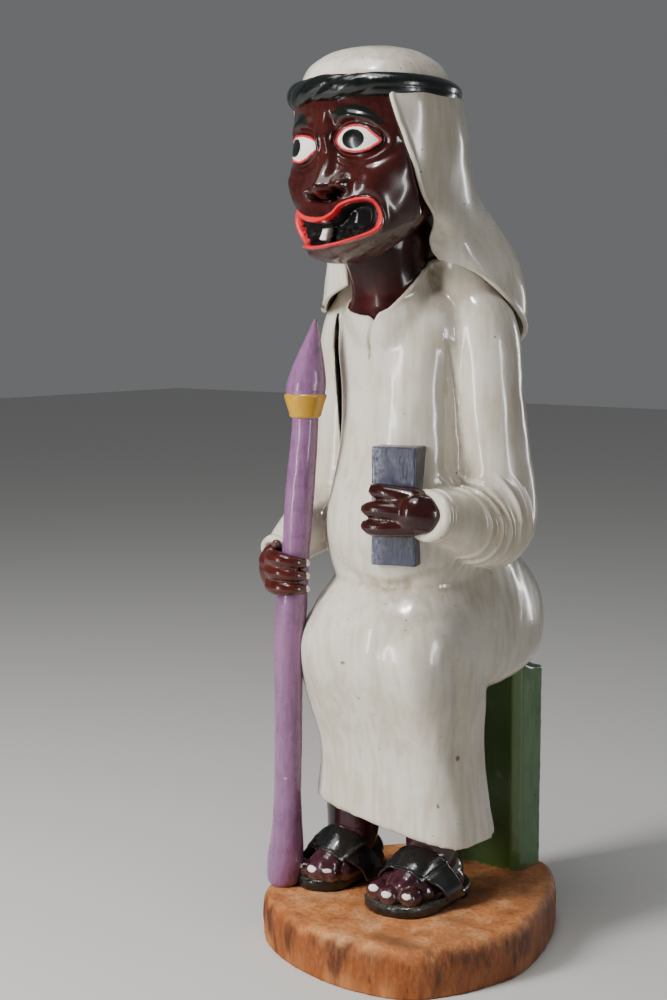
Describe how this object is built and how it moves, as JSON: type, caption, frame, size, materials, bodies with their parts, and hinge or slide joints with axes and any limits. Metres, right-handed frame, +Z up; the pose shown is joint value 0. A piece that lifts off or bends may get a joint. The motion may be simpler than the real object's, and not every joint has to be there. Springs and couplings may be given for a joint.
{
  "type": "seated figure carving",
  "caption": "Seated robed spirit figure carved from one log and painted, with a ringed headcloth, a spear in its right hand, a closed book in its left, a block seat and a raw round foot.",
  "frame": {"origin": "middle of the flat underside of the log's raw foot", "axes": "+Z up along the log; the figure faces -Y; +X is on the figure's left"},
  "size_m": [0.2209, 0.2531, 0.6857],
  "materials": {
    "painted_wood": "gloss oil paint, mostly off-white, brushed over carved hardwood, with the foot left raw"
  },
  "bodies": {
    "root": {"shetani_carving": "painted_wood"}
  },
  "joints": []
}
